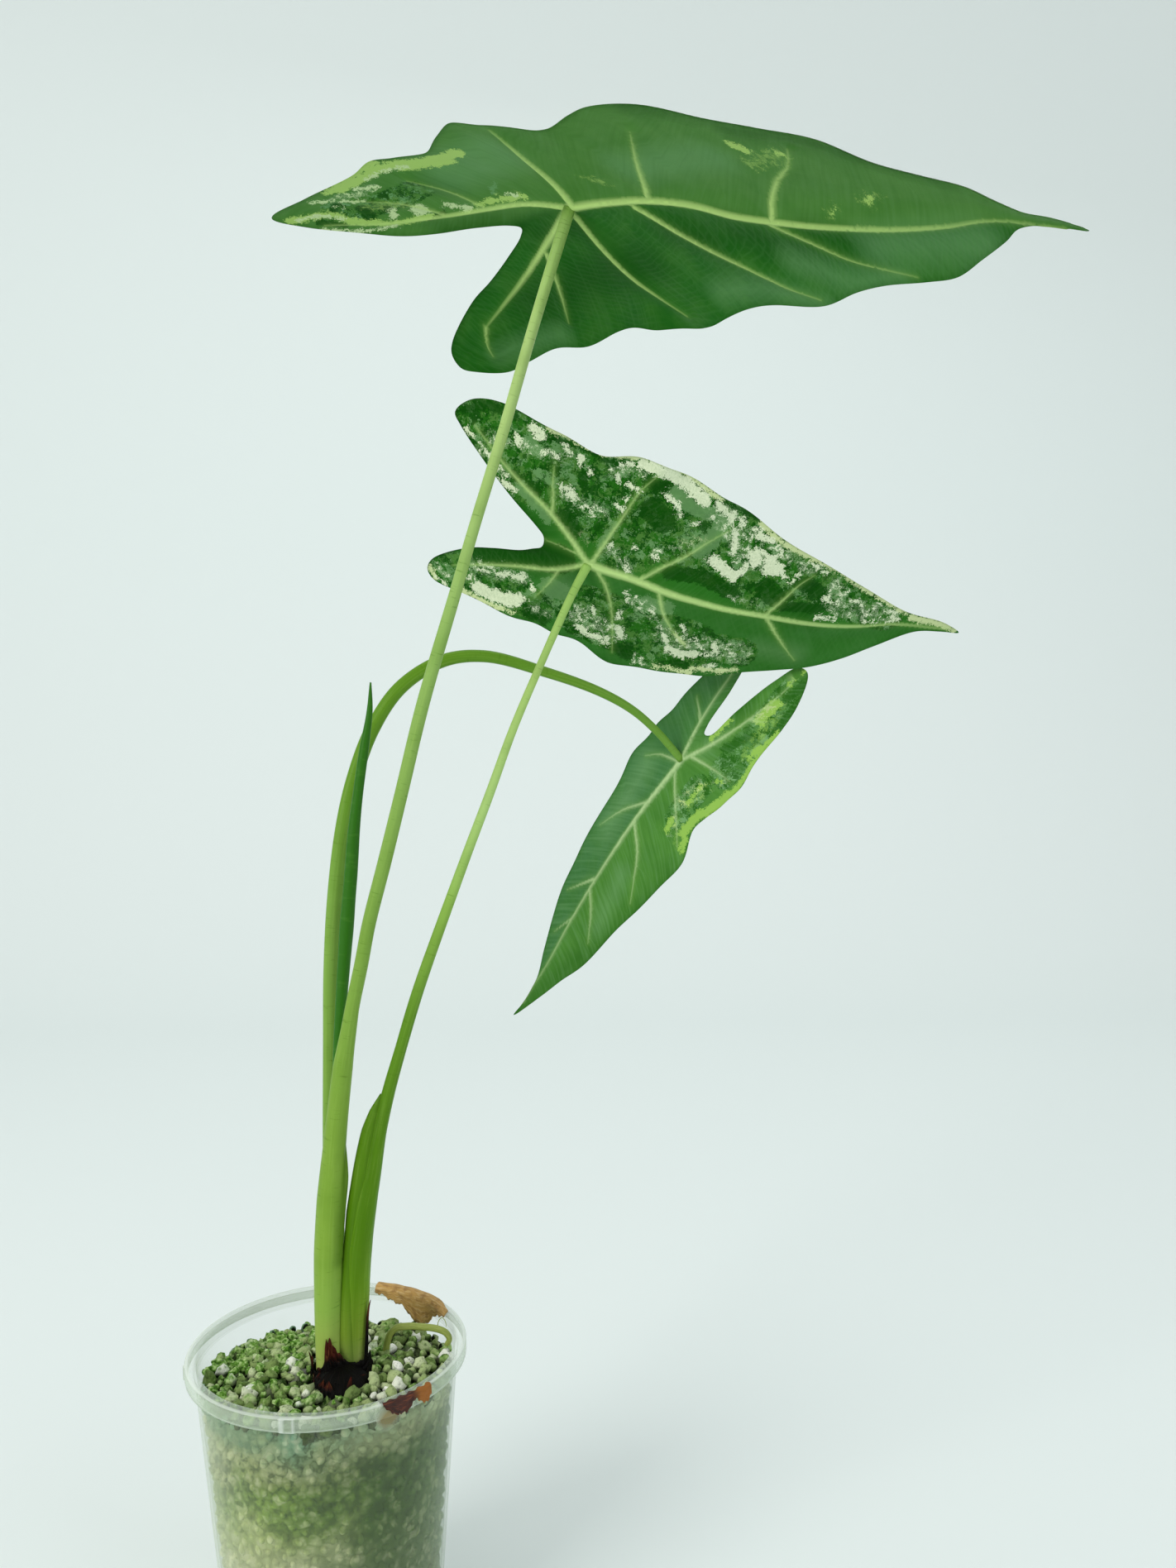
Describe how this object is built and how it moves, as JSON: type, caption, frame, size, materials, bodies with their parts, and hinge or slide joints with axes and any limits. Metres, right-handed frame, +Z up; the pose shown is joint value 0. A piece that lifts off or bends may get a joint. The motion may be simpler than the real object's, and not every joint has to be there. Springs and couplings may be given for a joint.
{
  "type": "potted variegated frydek alocasia",
  "caption": "Young variegated alocasia with arrow-shaped blades on long petioles and a furled new leaf, rooted in gravel in a clear plastic cup.",
  "frame": {"origin": "middle of the cup's flat base, on the surface that it stands on", "axes": "+Z up along the cup's axis, +X to the side that the leaves lean to, -Y towards the picture's camera"},
  "size_m": [0.2894, 0.2654, 0.5125],
  "materials": {
    "clear_plastic": "milky clear polypropylene, slightly frosted",
    "gravel": "damp pumice grains, cream to moss green with algae",
    "corm": "pale corm and roots",
    "dry_sheath": "dark brown papery old leaf bases",
    "petiole": "smooth light green stalk, satin",
    "blade_top": "leaf underside, mid green with lime streaks, satin",
    "blade_mosaic": "leaf underside, green and cream mosaic, satin",
    "blade_low": "leaf underside, soft green with a lime band, satin",
    "furled_blade": "rolled new blade, dark green, satin",
    "root": "olive green root, matte",
    "withered_tan": "dry tan leaf, papery",
    "withered_brown": "dry brown leaf scrap, papery"
  },
  "bodies": {
    "root": {"pot": "clear_plastic", "substrate": "gravel", "rootstock": "corm", "dry_sheath": "dry_sheath", "leaf_1_petiole": "petiole", "leaf_1_blade": "blade_top", "leaf_2_petiole": "petiole", "leaf_2_blade": "blade_mosaic", "leaf_3_petiole": "petiole", "leaf_3_blade": "blade_low", "furled_leaf": "furled_blade", "surface_root": "root", "withered_leaf": "withered_tan", "withered_scrap": "withered_brown"}
  },
  "joints": []
}
